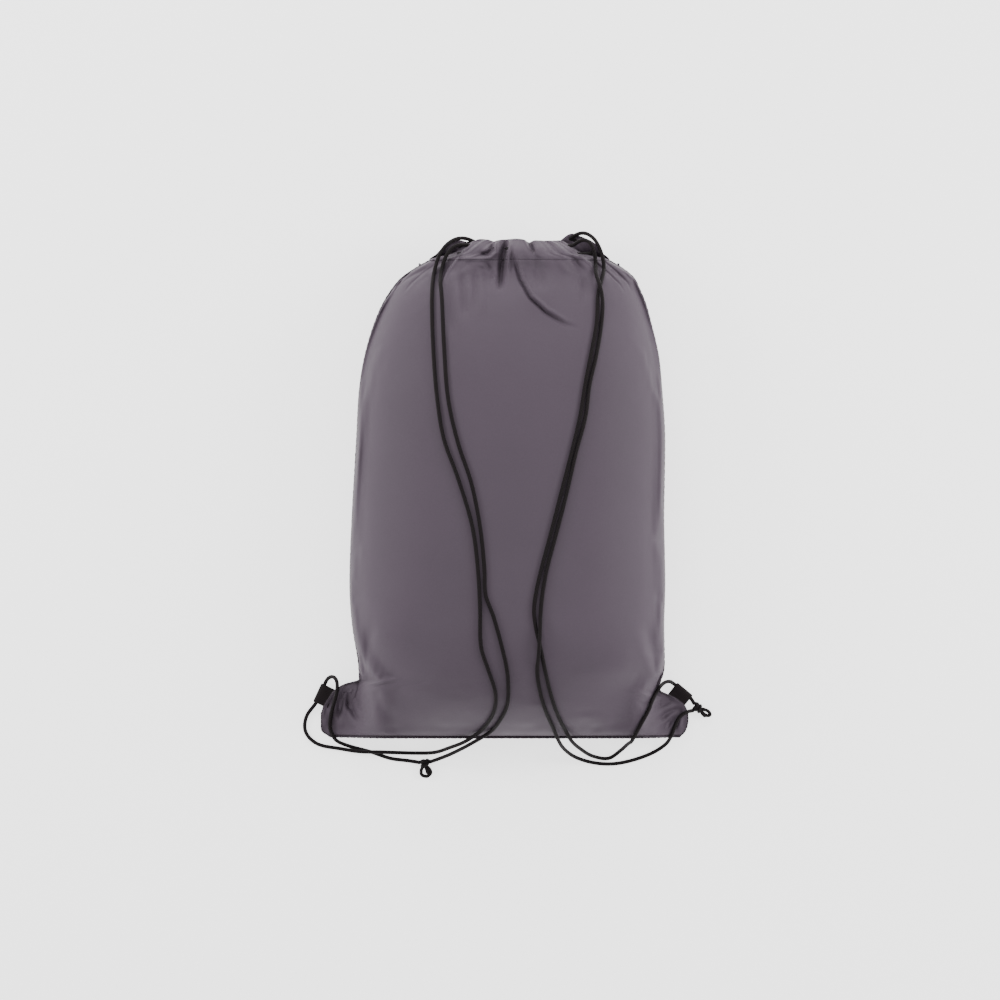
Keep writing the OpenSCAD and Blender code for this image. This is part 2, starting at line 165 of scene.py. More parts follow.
def thicken(piece, thickness):
    """Gives a sheet a thickness to both sides, and makes the shown mesh its own mesh."""
    modifier = piece.modifiers.new("Thickness", "SOLIDIFY")
    modifier.thickness = thickness
    modifier.offset = 0
    modifier.use_even_offset = False
    graph = bpy.context.evaluated_depsgraph_get()
    graph.update()
    made = bpy.data.meshes.new_from_object(piece.evaluated_get(graph))
    piece.modifiers.clear()
    piece.data = made


def grid_faces(rows, columns, closed=False):
    """Quads of a grid of points, wrapped round in the column direction when closed."""
    faces = []
    for j in range(rows - 1):
        for i in range(columns if closed else columns - 1):
            k = (i + 1) % columns
            faces.append((j * columns + i, j * columns + k, (j + 1) * columns + k, (j + 1) * columns + i))
    return faces


def tube_faces(rings, sides):
    """Faces of a closed tube of rings with this many points each, with both its ends filled."""
    ends = [tuple(range(sides))[::-1], tuple((rings - 1) * sides + a for a in range(sides))]
    return grid_faces(rings, sides, closed=True) + ends


def between(t, start, end, a, b):
    return (end - t) / (end - start) * a + (t - start) / (end - start) * b


def resampled(points, step):
    """Points about step apart along a smooth curve through the given ones."""
    p = np.array(points, float)
    ends = np.vstack([2 * p[0] - p[1], p, 2 * p[-1] - p[-2]])
    fine = []
    for i in range(len(p) - 1):
        a, b, c, d = ends[i : i + 4]
        ta, tb = 0.0, np.linalg.norm(b - a) ** 0.5
        tc = tb + np.linalg.norm(c - b) ** 0.5
        td = tc + np.linalg.norm(d - c) ** 0.5
        for t in np.linspace(tb, tc, 24, endpoint=False):
            bc = between(t, tb, tc, b, c)
            abc = between(t, ta, tc, between(t, ta, tb, a, b), bc)
            bcd = between(t, tb, td, bc, between(t, tc, td, c, d))
            fine.append(between(t, tb, tc, abc, bcd))
    fine.append(p[-1])
    fine = np.array(fine)
    along = travelled(fine)
    at = np.linspace(0, along[-1], max(2, int(round(along[-1] / step)) + 1))
    return np.stack([np.interp(at, along, fine[:, k]) for k in range(3)], axis=1)


# Radii of the rings that round off a tube's end, as shares of its own radius.
CAP = np.array([0.98, 0.8, 0.45, 0.05])


def tube(name, line, radius, material, sides=14):
    """A round-ended tube along a line of points, with UVs: u round it and v along it, both in metres."""
    line = np.array(line, float)
    radii = np.full(len(line), float(radius)) if np.isscalar(radius) else np.array(radius, float)
    first, last = unit(line[0] - line[1]), unit(line[-1] - line[-2])
    rise = np.sqrt(1 - CAP**2)[:, None]
    line = np.vstack([line[0] + first * (rise * radii[0])[::-1], line, line[-1] + last * (rise * radii[-1])])
    radii = np.concatenate([(CAP * radii[0])[::-1], radii, CAP * radii[-1]])
    along = unit(np.gradient(line, axis=0))
    across = unit(np.cross(along[0], [0.0, 0.0, 1.0]) + 1e-9)
    frames = []
    for direction in along:
        across = unit(across - direction * (across @ direction))
        frames.append((across, np.cross(direction, across)))
    angles = np.linspace(0, 2 * math.pi, sides, endpoint=False)
    points = np.concatenate([
        line[k] + radii[k] * (np.cos(angles)[:, None] * frames[k][0] + np.sin(angles)[:, None] * frames[k][1])
        for k in range(len(line))
    ])
    piece = add_mesh(name, points, tube_faces(len(line), sides), material)
    far = travelled(line)
    layer = piece.data.uv_layers.new(name="UVMap")
    girth = 2 * math.pi * float(radii.max())
    for polygon in piece.data.polygons:
        for loop in polygon.loop_indices:
            vertex = piece.data.loops[loop].vertex_index
            turn = vertex % sides / sides
            wraps = len(polygon.vertices) == 4 and turn == 0 and polygon.index % sides == sides - 1
            layer.data[loop].uv = ((1.0 if wraps else turn) * girth, far[vertex // sides])
    return piece


def points_and_faces(parts):
    """The points and faces of several pieces, as one mesh has them."""
    points, faces = [], []
    for part in parts:
        base = len(points)
        points += [tuple(v.co) for v in part.data.vertices]
        faces += [tuple(base + i for i in p.vertices) for p in part.data.polygons]
    return points, faces


def joined(name, parts):
    """One piece out of several meshes."""
    points, faces = points_and_faces(parts)
    material = parts[0].data.materials[0]
    for part in parts:
        bpy.data.objects.remove(part)
    return add_mesh(name, points, faces, material)


# ---- Camera, lights and floor


def look_at(thing, target):
    thing.rotation_euler = (Vector(target) - thing.location).to_track_quat("-Z", "Y").to_euler()


def square(half, z):
    return [(-half, -half, z), (half, -half, z), (half, half, z), (-half, half, z)]


def add_camera():
    """Straight above, far enough away to keep the sides upright, with 920 mm across the picture."""
    camera = bpy.data.objects.new("Camera", bpy.data.cameras.new("Camera"))
    bpy.context.scene.collection.objects.link(camera)
    camera.data.lens, camera.data.sensor_width = 250, 36
    width = 0.92
    middle = Vector((-0.0028, -0.0138, 0.04))
    camera.location = middle + Vector((0, 0, width * camera.data.lens / camera.data.sensor_width))
    camera.data.clip_end = 50
    bpy.context.scene.camera = camera


def add_light(name, place, target, size, power):
    light = bpy.data.lights.new(name, "AREA")
    light.shape, light.size, light.energy = "SQUARE", size, power
    thing = bpy.data.objects.new(name, light)
    thing.location = place
    bpy.context.scene.collection.objects.link(thing)
    look_at(thing, target)


def add_studio():
    """Three soft lights from the sides and the top of the picture, a white world and a pale floor."""
    middle = (0, 0, 0.03)
    add_light("Left_light", (-1.6, 0.5, 0.95), middle, 0.6, 17)
    add_light("Right_light", (1.6, 0.3, 0.95), middle, 0.7, 19)
    add_light("Top_light", (-0.2, 1.6, 1.0), middle, 0.7, 11)
    world = bpy.data.worlds.new("Studio")
    world.use_nodes = True
    background = world.node_tree.nodes["Background"]
    background.inputs["Color"].default_value = (1, 1, 1, 1)
    background.inputs["Strength"].default_value = 0.95
    bpy.context.scene.world = world
    pale = bpy.data.materials.new("Floor")
    pale.use_nodes = True
    shader = pale.node_tree.nodes["Principled BSDF"]
    shader.inputs["Base Color"].default_value = (0.93, 0.93, 0.93, 1)
    shader.inputs["Roughness"].default_value = 0.9
    shader.inputs["Emission Color"].default_value = (1, 1, 1, 1)
    shader.inputs["Emission Strength"].default_value = 1.7
    floor = add_mesh("Floor", square(4.0, 0), [(0, 1, 2, 3)], pale)


# ---- Materials


class Finish:
    """A procedural material put together node by node."""

    def __init__(self, name, roughness, specular, sheen, sheen_roughness=0.4):
        self.material = bpy.data.materials.new(name)
        self.material.use_nodes = True
        self.tree = self.material.node_tree
        self.shader = self.tree.nodes["Principled BSDF"]
        self.shader.inputs["Roughness"].default_value = roughness
        self.shader.inputs["Sheen Weight"].default_value = sheen
        self.shader.inputs["Sheen Roughness"].default_value = sheen_roughness
        self.shader.inputs["Specular IOR Level"].default_value = specular

    def node(self, kind, **settings):
        made = self.tree.nodes.new(kind)
        for key, value in settings.items():
            if key in made.inputs:
                made.inputs[key].default_value = value
            else:
                setattr(made, key, value)
        return made

    def link(self, start, end):
        self.tree.links.new(start, end)

    def mixed(self, factor, low, high):
        ramp = self.node("ShaderNodeMix", data_type="RGBA")
        ramp.inputs[6].default_value = (*low, 1)
        ramp.inputs[7].default_value = (*high, 1)
        self.link(factor, ramp.inputs[0])
        return ramp.outputs[2]

    def noise(self, scale, detail):
        made = self.node("ShaderNodeTexNoise", Scale=scale, Detail=detail)
        self.link(self.node("ShaderNodeTexCoord").outputs["Object"], made.inputs["Vector"])
        return made.outputs["Fac"]

    def bands(self, pitch, direction, coordinates=None):
        """Waves a pitch apart, in metres: the node's own bands are 2 pi / 20 apart at scale 1."""
        made = self.node("ShaderNodeTexWave", wave_type="BANDS", bands_direction=direction)
        made.inputs["Scale"].default_value = 2 * math.pi / 20 / pitch
        if coordinates is None:
            coordinates = self.node("ShaderNodeTexCoord").outputs["Object"]
        self.link(coordinates, made.inputs["Vector"])
        return made.outputs["Fac"]

    def weighted(self, a, share_a, b, share_b):
        return self.maths("ADD", self.maths("MULTIPLY", a, share_a), self.maths("MULTIPLY", b, share_b))

    def maths(self, operation, a, b):
        made = self.node("ShaderNodeMath", operation=operation)
        for socket, value in zip(made.inputs, (a, b)):
            if isinstance(value, (int, float)):
                socket.default_value = value
            else:
                self.link(value, socket)
        return made.outputs[0]

    def bump(self, height, strength, distance):
        made = self.node("ShaderNodeBump")
        made.inputs["Strength"].default_value = strength
        made.inputs["Distance"].default_value = distance
        self.link(height, made.inputs["Height"])
        self.link(made.outputs["Normal"], self.shader.inputs["Normal"])

    def colour(self, output):
        self.link(output, self.shader.inputs["Base Color"])


def nylon_finish():
    """Fine plain-woven nylon: threads 0.45 mm apart both ways, and cloudy differences in tone."""
    made = Finish("Nylon", 0.6, 0.2, 0.05)
    weave = made.maths("MULTIPLY", made.bands(0.45 * MM, "X"), made.bands(0.45 * MM, "Y"))
    cloud = made.noise(9, 4)
    grain = made.noise(900, 2)
    tone = made.weighted(cloud, 0.6, grain, 0.4)
    made.colour(made.mixed(tone, (0.060, 0.045, 0.060), (0.087, 0.066, 0.088)))
    made.bump(made.weighted(weave, 0.7, grain, 0.6), 0.35, 0.12 * MM)
    return made.material


def twisted_finish_painted_shade(made, pitch, low, high, depth):
    """Slanted turns of thread, for a seam's rolled edge and for stitches. The colour is darker between the turns,
    painted shade there, and the same bands make the bump.
    """
    turns = made.bands(pitch, "DIAGONAL")
    # Colour darker between the turns: painted shade in the grooves.
    made.colour(made.mixed(turns, low, high))
    made.bump(turns, 0.5, depth)
    return made.material


def cord_finish_painted_shade():
    """Braided cord: two sets of slanted strands that cross, read off the tube's own UVs in metres. The colour is
    darker where the strands dip, painted shade between them, with the cord's own random fuzz.
    """
    made = Finish("Cord_painted_shade", 0.75, 0.12, 0.03, 0.5)
    uv = made.node("ShaderNodeTexCoord").outputs["UV"]
    split = made.node("ShaderNodeSeparateXYZ")
    made.link(uv, split.inputs[0])
    girth, pitch, strands = math.pi * cord_d, 5.2 * MM, 4
    around = made.maths("MULTIPLY", split.outputs[0], 2 * math.pi * strands / girth)
    along = made.maths("MULTIPLY", split.outputs[1], 2 * math.pi * strands / (pitch * strands / 2))
    left = made.maths("SINE", made.maths("ADD", around, along), 0.0)
    right = made.maths("SINE", made.maths("SUBTRACT", around, along), 0.0)
    braid = made.maths("MAXIMUM", left, right)
    height = made.maths("ADD", made.maths("MULTIPLY", braid, 0.5), 0.5)
    fuzz = made.noise(1400, 2)
    # Darker where the strands dip: painted shade between them; the fuzz is the cord's own random tone.
    tone = made.weighted(height, 0.7, fuzz, 0.3)
    made.colour(made.mixed(tone, (0.003, 0.0022, 0.0025), (0.012, 0.0088, 0.0098)))
    made.bump(made.maths("ADD", height, made.maths("MULTIPLY", fuzz, 0.3)), 0.8, 0.35 * MM)
    return made.material


def webbing_finish_painted_shade():
    """Ribbed webbing: fine ribs and twill over the modelled ribs. The colour is darker in their troughs, painted
    shade, and the same bands make the bump.
    """
    made = Finish("Webbing_painted_shade", 0.75, 0.12, 0.03)
    uv = made.node("ShaderNodeTexCoord").outputs["UV"]
    tone = made.weighted(made.bands(1.5 * MM, "X", uv), 0.5, made.bands(0.8 * MM, "DIAGONAL", uv), 0.5)
    # Darker in the troughs of the ribs and twill: painted shade.
    made.colour(made.mixed(tone, (0.004, 0.0028, 0.0032), (0.016, 0.011, 0.0125)))
    made.bump(tone, 0.7, 0.25 * MM)
    return made.material


nylon = nylon_finish()
# The seam roll's tone is darker than the nylon's: painted shade of the gap where the panels meet, over its slanted
# turns.
seam_roll_painted_shade = twisted_finish_painted_shade(
    Finish("Seam", 0.75, 0.15, 0.05), 1.6 * MM, (0.020, 0.015, 0.020), (0.046, 0.034, 0.045), 0.2 * MM
)
thread = twisted_finish_painted_shade(
    Finish("Thread_painted_shade", 0.6, 0.2, 0.05), 0.5 * MM, (0.042, 0.032, 0.042), (0.07, 0.054, 0.07), 0.08 * MM
)
braid, strap = cord_finish_painted_shade(), webbing_finish_painted_shade()

# ---- The filled shape


def seam_height(x, y):
    out = smooth((np.abs(x - CENTRE_X) - 112 * MM) / (50 * MM))
    low = smooth((-170 * MM - y) / (34 * MM))
    return seam_z - (seam_z - ear_z) * out * low


def dome(x, y):
    """Share of the full rise at (x, y): 1 over the middle and 0 at the edge of the panels."""
    left, right = body_left(y), body_right(y)
    u = np.abs(2 * x - left - right) / np.maximum(right - left, MM)
    return np.maximum(0, 1 - np.minimum(u, 1) ** DOME_POWER) ** edge_ease(y)


def back_height(x, y):
    return seam_height(x, y) + np.maximum(EAR_LAYER / 2, (fill_z - seam_z) * crown(y) * dome(x, y))


def front_height(x, y):
    return np.maximum(LOWEST_CLOTH, seam_height(x, y) - np.maximum(EAR_LAYER / 2, seam_z * belly(y) * dome(x, y)))


def panel_grid(side, rows, spread):
    """Points of a panel: rows are y values, and spread runs from -1 at the left seam to 1 at the right."""
    y = np.repeat(rows[:, None], len(spread), axis=1)
    left, right = left_edge(y), right_edge(y)
    x = (left + right) / 2 + np.sin(spread * math.pi / 2)[None] * (right - left) / 2
    z = back_height(x, y) if side > 0 else front_height(x, y)
    edge = np.abs(spread) > 1 - 1e-9
    z[:, edge] = seam_height(x, y)[:, edge]
    z[0] = seam_height(x, y)[0]
    return np.stack([x, y, z], axis=2)


# ---- Cloth: the bag is let go slack and puffed out, with its seams and mouth held

COARSE_ROWS = np.append(np.arange(-231, 203, 5.5) * MM, MOUTH_Y)
COARSE_SPREAD = np.linspace(-1, 1, 49)
SLACK, PUFF, LARGEST_SHIFT, FRAMES = 0.03, 5.0, 6 * MM, 22
# Share of the cloth's sideways shift that is kept, so that the bag keeps its outline.
SIDEWAYS = 0.35


def settled(back, front):
    """How far the cloth moves each point of the coarse back and front grids."""
    rows, columns = back.shape[:2]
    points = np.concatenate([back.reshape(-1, 3), front.reshape(-1, 3)])
    twin = np.arange(2 * rows * columns).reshape(2, rows, columns)
    for sewn in (np.s_[0], np.s_[:, 0], np.s_[:, -1]):
        twin[1][sewn] = twin[0][sewn]
    twin = twin.ravel()
    upper = grid_faces(rows, columns)
    lower = [tuple(int(twin[rows * columns + v]) for v in f[::-1]) for f in upper]
    used = np.unique(twin)
    place = {int(v): k for k, v in enumerate(used)}
    bag = add_mesh("Slack_bag", points[used], [tuple(place[v] for v in f) for f in upper + lower], None)
    table = add_mesh("Slack_floor", square(1, -MM), [(0, 1, 2, 3)], None)
    table.modifiers.new("Collision", "COLLISION")
    table.collision.thickness_outer = 0.6 * MM
    held = bag.vertex_groups.new(name="held")
    for v in used:
        j, i = divmod(int(v) % (rows * columns), columns)
        if i in (0, columns - 1) or j in (0, rows - 1):
            held.add([place[int(v)]], 1.0, "REPLACE")
    modifier = bag.modifiers.new("Cloth", "CLOTH")
    setup = modifier.settings
    setup.quality, setup.mass, setup.air_damping = 6, 0.15, 3
    setup.tension_stiffness = setup.compression_stiffness = 14
    setup.shear_stiffness, setup.bending_stiffness = 6, 0.6
    setup.use_pressure, setup.uniform_pressure_force = True, PUFF
    setup.shrink_min = setup.shrink_max = -SLACK
    setup.vertex_group_mass = "held"
    setup.effector_weights.gravity = 0.35
    modifier.collision_settings.distance_min = 0.6 * MM
    modifier.point_cache.frame_end = FRAMES
    scene = bpy.context.scene
    for frame_number in range(1, FRAMES + 1):
        scene.frame_set(frame_number)
    graph = bpy.context.evaluated_depsgraph_get()
    shaped = bag.evaluated_get(graph).data
    end = np.zeros(len(shaped.vertices) * 3)
    shaped.vertices.foreach_get("co", end)
    moved = np.zeros_like(points)
    moved[used] = end.reshape(-1, 3) - points[used]
    moved = moved[twin]
    far = np.linalg.norm(moved, axis=1, keepdims=True)
    moved *= LARGEST_SHIFT * np.tanh(far / LARGEST_SHIFT) / np.maximum(far, 1e-9)
    moved[:, :2] *= SIDEWAYS
    scene.frame_set(1)
    for thing in (bag, table):
        bpy.data.objects.remove(thing)
    return moved[: rows * columns].reshape(back.shape), moved[rows * columns :].reshape(back.shape)


def cubic(known, values, wanted):
    """Values along the first axis of a grid, at other places, by a smooth curve through them."""
    tangent = np.gradient(values, known, axis=0)
    i = np.clip(np.searchsorted(known, wanted, side="right") - 1, 0, len(known) - 2)
    h = (known[i + 1] - known[i])[:, None, None]
    u = np.clip((wanted - known[i])[:, None, None] / h, 0, 1)
    return hermite(values[i], values[i + 1], tangent[i], tangent[i + 1], h, u)


def finer(shift, rows, spread):
    """The coarse grid's shift at the points of a fine grid."""
    along = cubic(COARSE_ROWS, shift, rows)
    return np.swapaxes(cubic(COARSE_SPREAD, np.swapaxes(along, 0, 1), spread), 0, 1)


# ---- Folds: each follows a line in plan, in millimetres, and has a depth (negative for a ridge), a half
# width at its start and end, and a raised bank on its left (positive) or right side

BACK_FOLDS = [
    # The deep pleat at the middle of the mouth, which ends in a point, and the ridges on both sides of it.
    ([(2.7, 226.6), (2, 220), (0, 209), (-1.6, 196), (-3.4, 174)], 10.5, 3.2, 2.6, 0),
    ([(7.6, 228), (6.6, 220), (4.6, 208), (4.4, 197), (7, 188)], -3.4, 2, 1.8, 0),
    ([(-6, 226), (-5.6, 217), (-6, 207)], -2.4, 1.6, 1.4, 0),
    # The long crease that runs out of the pleat to the right.
    ([(7.5, 216), (11, 203), (16, 187), (25, 170.5), (39, 157.5), (57, 146.5), (72, 142)], 4.6, 1.3, 1.6, 0.55),
    ([(8, 226), (11, 214), (16, 200), (24, 184)], -1.6, 3, 5, 0),
    # The pouch left of the pleat: a rim round a hollow.
    ([(-44, 208), (-32, 207), (-20, 206.4), (-11, 208.4), (-6.6, 213), (-7.4, 223)], -2.8, 2, 1.6, 0),
    ([(-24, 212), (-14, 211.6), (-10, 215), (-10.5, 224)], 6, 1.8, 3, 0),
    # The notch right of the pleat, and its light edge.
    ([(22.6, 226.6), (25, 221), (29.6, 210)], 4.2, 2.2, 1.6, 0.25),
    ([(17.5, 232), (21, 222), (26.5, 212)], -2.2, 1.5, 1.3, 0),
    # Soft folds that run down from the gathers.
    ([(-38, 203), (-36, 180), (-34, 146)], 2.6, 3.4, 4.5, 0.5),
    ([(-27, 203), (-25.5, 184), (-26, 150)], 2.3, 2.6, 3.6, 0.5),
    ([(-25, 204), (-17, 200), (-10, 193), (-4.6, 183.5)], -2.4, 2, 1.6, 0),
    ([(-17, 204), (-12, 196), (-7, 188)], 2.8, 3, 2, 0),
    ([(30, 212), (31, 196), (38, 176)], 1.8, 3, 5, 0.3),
    ([(58, 219), (66, 204), (73, 186), (76, 160)], 2.6, 2.4, 5, 0.45),
    ([(44, 224), (47, 208), (52, 190)], 1.4, 2.6, 4, 0.3),
    ([(-50, 196), (-49, 170), (-46, 130)], 1.8, 3, 5, 0.5),
    # The stitched band along each shoulder.
    ([(86, 211), (93, 205), (104, 196), (114, 186), (119, 176)], 1.5, 1.0, 1.0, 0.2),
    ([(80, 209), (87, 202.5), (97, 194), (107, 184), (112.5, 175)], 1.1, 0.9, 0.9, 0.2),
    ([(-56, 206), (-70, 197), (-83, 186), (-93, 174)], 1.1, 1.2, 1.0, 0.2),
    # Folds in the left ear.
    ([(-131, -180), (-140, -184), (-147, -190), (-150.6, -201), (-151.6, -213), (-150, -221)], 3.6, 1.7, 2.2, 0.45),
    ([(-141, -184), (-143, -190), (-142, -202), (-135.5, -213), (-124, -222)], 4.2, 1.8, 3.0, -0.5),
    ([(-136, -183), (-136.5, -194), (-132, -204), (-123, -214)], 2.2, 1.6, 3, 0.4),
    ([(-127, -176), (-124, -150), (-118, -120)], 2.0, 2.4, 6, 0.3),
    ([(-118, -184), (-112, -204), (-98, -222)], 1.3, 3, 6, 0.3),
    # Folds in the right ear, which meet at its outer corner.
    ([(166, -206), (157, -215), (147, -227)], 3.0, 1.6, 2.6, 0.5),
    ([(166, -205), (153, -210), (138, -219)], 3.0, 1.6, 3.2, 0.45),
    ([(166, -207), (161, -218), (157, -229)], 2.2, 1.4, 2, 0.4),
    ([(158, -198), (146, -202), (131, -210)], 2.8, 2, 4, 0.4),
    ([(147, -186), (138, -196), (122, -206)], 2.4, 2, 5, 0.4),
    ([(141, -178), (137, -150), (130, -122)], 2.0, 2.2, 6, 0.3),
]
# Edges where the cloth steps down on the left side of a line: line, drop, half width, reach, in millimetres.
BACK_STEPS = [
    ([(-61, 174), (-56.4, 186.3), (-50.6, 197), (-43.5, 206.3), (-36.4, 215.6), (-26, 225)], 5.5, 1.2, 17),
    ([(50, 229), (61, 219.4), (71, 211), (81, 203), (91, 190)], 4.5, 1.2, 15),
]
# Broad soft forms: place, half widths and height, in millimetres.
BACK_FORMS = [
    ((50, 206), (17, 16), 5.5),
    ((-22, 219), (9, 6), 2.4),
    ((14, 212), (6, 14), 3.0),
    ((-15, 197), (7, 9), -1.6),
    ((34, 176), (14, 12), 1.8),
]


def along_line(x, y, line):
    """Signed distance from each point to a line in plan, and the share of the line's length there."""
    line = np.array(line, float) * MM
    span = np.linalg.norm(np.diff(line, axis=0), axis=1)
    start = travelled(line)
    best = np.full(x.shape, 1e9)
    signed, share = np.zeros(x.shape), np.zeros(x.shape)
    for k in range(len(span)):
        a, d = line[k], (line[k + 1] - line[k]) / span[k]
        t = np.clip((x - a[0]) * d[0] + (y - a[1]) * d[1], 0, span[k])
        off_x, off_y = x - a[0] - t * d[0], y - a[1] - t * d[1]
        away = np.hypot(off_x, off_y)
        side = np.where(d[0] * off_y - d[1] * off_x >= 0, 1.0, -1.0)
        nearer = away < best
        best = np.where(nearer, away, best)
        signed = np.where(nearer, side * away, signed)
        share = np.where(nearer, (start[k] + t) / start[-1], share)
    return signed, share


def folded(x, y):
    """Height that the folds and broad forms add to the back of the bag."""
    height = np.zeros(x.shape)
    for line, depth, start_width, end_width, bank in BACK_FOLDS:
        d, share = along_line(x, y, line)
        narrow = (start_width + (end_width - start_width) * share) * MM
        fade = smooth(share / 0.3 + 0.1) * smooth((1 - share) / 0.35)
        height -= depth * MM * fade * np.exp(-((d / narrow) ** 2))
        beside = d - np.sign(bank) * 2.1 * narrow
        height += abs(bank * depth) * MM * fade * np.exp(-((beside / (1.2 * narrow)) ** 2))
    for line, drop, width, reach in BACK_STEPS:
        d, share = along_line(x, y, line)
        fade = smooth(share / 0.3) * smooth((1 - share) / 0.15)
        beyond = np.exp(-((np.maximum(d, 0) / (reach * MM)) ** 2))
        height -= drop * MM * fade * smooth(0.5 + d / (2 * width * MM)) * beyond
        height += 0.9 * MM * fade * np.exp(-((d / (width * MM) + 1.2) ** 2))
    for (cx, cy), (wx, wy), rise in BACK_FORMS:
        height += rise * MM * np.exp(-(((x / MM - cx) / wx) ** 2) - ((y / MM - cy) / wy) ** 2)
    return height


def gathered(y, spread, phase):
    """Small ruffles that the drawn cord makes along the mouth, dying out down the panel."""
    strength = smooth((y - 150 * MM) / (70 * MM)) ** 2
    wave = (
        np.sin(13 * spread + phase) + 0.8 * np.sin(23 * spread + 1.7 * phase + 0.6)
        + 0.55 * np.sin(41 * spread - phase) + 0.3 * np.sin(67 * spread + 2.2)
    )
    return 0.9 * MM * strength * wave * (1 - spread**4)


def creased(x, y, spread):
    """Shallow wrinkles that run in from the seams, and faint ones over the body."""
    near_edge = np.exp(-(((1 - np.abs(spread)) / 0.16) ** 2))
    along = y / MM
    pull = np.sin(along / 5.3 + 3 * spread) * np.sin(along / 31 + 1.2) + 0.6 * np.sin(along / 3.1 + 2)
    body = np.sin(x / MM / 23 + along / 47 + 1) * np.sin(along / 39 - x / MM / 61) + 0.5 * np.sin(
        x / MM / 13 - along / 29 + 2 * np.sin(along / 53)
    )
    return 0.35 * MM * near_edge * pull + 0.45 * MM * body * (1 - near_edge)


# ---- Mouth: each hem is a flat tube of fabric, folded over at the lip

# Left and right ends of each hem from its foot to its lip: share of the way against x.
BACK_LEFT = [(0, -68), (0.12, -58), (0.35, -46), (0.65, -36), (0.85, -30), (1, -23)]
BACK_RIGHT = [(0, 98), (0.12, 86), (0.35, 74), (0.65, 65), (0.85, 59), (1, 53)]
FRONT_LEFT = [(0, -68), (0.2, -63.5), (0.5, -58), (0.8, -51), (1, -42)]
FRONT_RIGHT = [(0, 98), (0.2, 93), (0.5, 88), (0.8, 80), (1, 68)]


def bump(x, place, width):
    return np.exp(-(((x / MM - place) / width) ** 2))


def back_lip_y(x):
    """The near lip: high over the pouch and the ridge, low in the pleat and the notch."""
    rise = 0.9 * bump(x, 11, 7) - 1.5 * bump(x, -8.5, 3.5) - 2.2 * bump(x, 24, 3.4) - 0.8 * bump(x, 40, 14)
    return (225 + rise + 0.8 * bump(x, -20, 7)) * MM


def front_lip_y(x):
    """The far lip, which shows above the near one at the left end and at the right."""
    return (220 + 11.5 * bump(x, 63.5, 12) + 5.5 * bump(x, -42, 13)) * MM


HEM_STEPS, HEM_PUFF, INNER_PUFF = 24, 4.2 * MM, 1.5


# Each hem's ends, the line of its lip, and the height of the lip and of its arch in millimetres.
HEMS = {1: (BACK_LEFT, BACK_RIGHT, back_lip_y, 48, 10), -1: (FRONT_LEFT, FRONT_RIGHT, front_lip_y, 33, -13)}


def hem_grid(side, foot, spread):
    """Rows of points from the foot along the outside to the lip, round it, and back along the inside."""
    left_end, right_end, lip_line, lip_height, arch = HEMS[side]
    left, right = through(left_end, 1), through(right_end, 1)
    s = (np.sin(spread * math.pi / 2) + 1) / 2
    lip_y = lip_line(left(1) + s * (right(1) - left(1)))
    lip_z = (lip_height + arch * np.sin(math.pi * s)) * MM
    shares = np.linspace(0, 1, HEM_STEPS)
    rows = []
    for turn, order in ((1, shares), (-1, shares[::-1][1:])):
        for t in order:
            x = left(t) + s * (right(t) - left(t))
            x = x * smooth(3 * t) + foot[:, 0] * (1 - smooth(3 * t))
            y = foot[:, 1] + t * (lip_y - foot[:, 1])
            puff = HEM_PUFF * max(0, math.sin(math.pi * min(1, t) ** 0.9)) ** 1.3 + 0.4 * MM * (1 - t)
            puff *= 1 if turn > 0 else INNER_PUFF
            middle = foot[:, 2] - side * 0.4 * MM + t * (lip_z - foot[:, 2])
            closed = 1 - 0.75 * np.exp(-((1 - np.abs(spread)) / 0.05) ** 2) * (t < 0.2)
            rows.append(np.stack([x, y, middle + side * turn * puff * closed], axis=1))
    rows[0] = foot.copy()
    return np.array(rows)


def cloth_piece(name, grid, replaced):
    """A piece of thin nylon out of a grid of points."""
    piece = add_mesh(name, grid.reshape(-1, 3), grid_faces(*grid.shape[:2]), nylon)
    thicken(piece, cloth)
    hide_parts(replaced)
    return piece


# Rows of the panels, closest together where the cloth turns or is folded: from, to and step in millimetres.
ROW_SPACING = [(-231, -229, 0.5), (-229, -172, 1.3), (-172, 112, 3.2), (112, 160, 1.5), (160, 205.4, 0.9)]
PANEL_ROWS = np.concatenate([np.arange(*spacing) * MM for spacing in ROW_SPACING] + [[MOUTH_Y]])
SPREAD = np.linspace(-1, 1, 321)

add_camera()
add_studio()

coarse_back, coarse_front = (panel_grid(side, COARSE_ROWS, COARSE_SPREAD) for side in (1, -1))
back_shift, front_shift = settled(coarse_back, coarse_front)

back_grid = panel_grid(1, PANEL_ROWS, SPREAD) + finer(back_shift, PANEL_ROWS, SPREAD)
front_grid = panel_grid(-1, PANEL_ROWS, SPREAD) + finer(front_shift, PANEL_ROWS, SPREAD)
front_grid[:, :, 2] = np.maximum(front_grid[:, :, 2], LOWEST_CLOTH)
back_hem_grid, front_hem_grid = hem_grid(1, back_grid[-1], SPREAD), hem_grid(-1, front_grid[-1], SPREAD)

BACK_PHASE, FRONT_PHASE = 0.7, 2.9
for grid in (back_grid, back_hem_grid):
    x, y = grid[..., 0], grid[..., 1]
    inside_seams = 1 - SPREAD**16
    grid[..., 2] += (
        folded(x, y) * inside_seams + gathered(y, SPREAD, BACK_PHASE) + creased(x, y, SPREAD) * inside_seams
    )
for grid in (front_grid, front_hem_grid):
    grid[..., 2] += gathered(grid[..., 1], SPREAD, FRONT_PHASE)
front_grid[..., 2] = np.maximum(front_grid[..., 2], LOWEST_CLOTH)
back_hem_grid[0], front_hem_grid[0] = back_grid[-1], front_grid[-1]

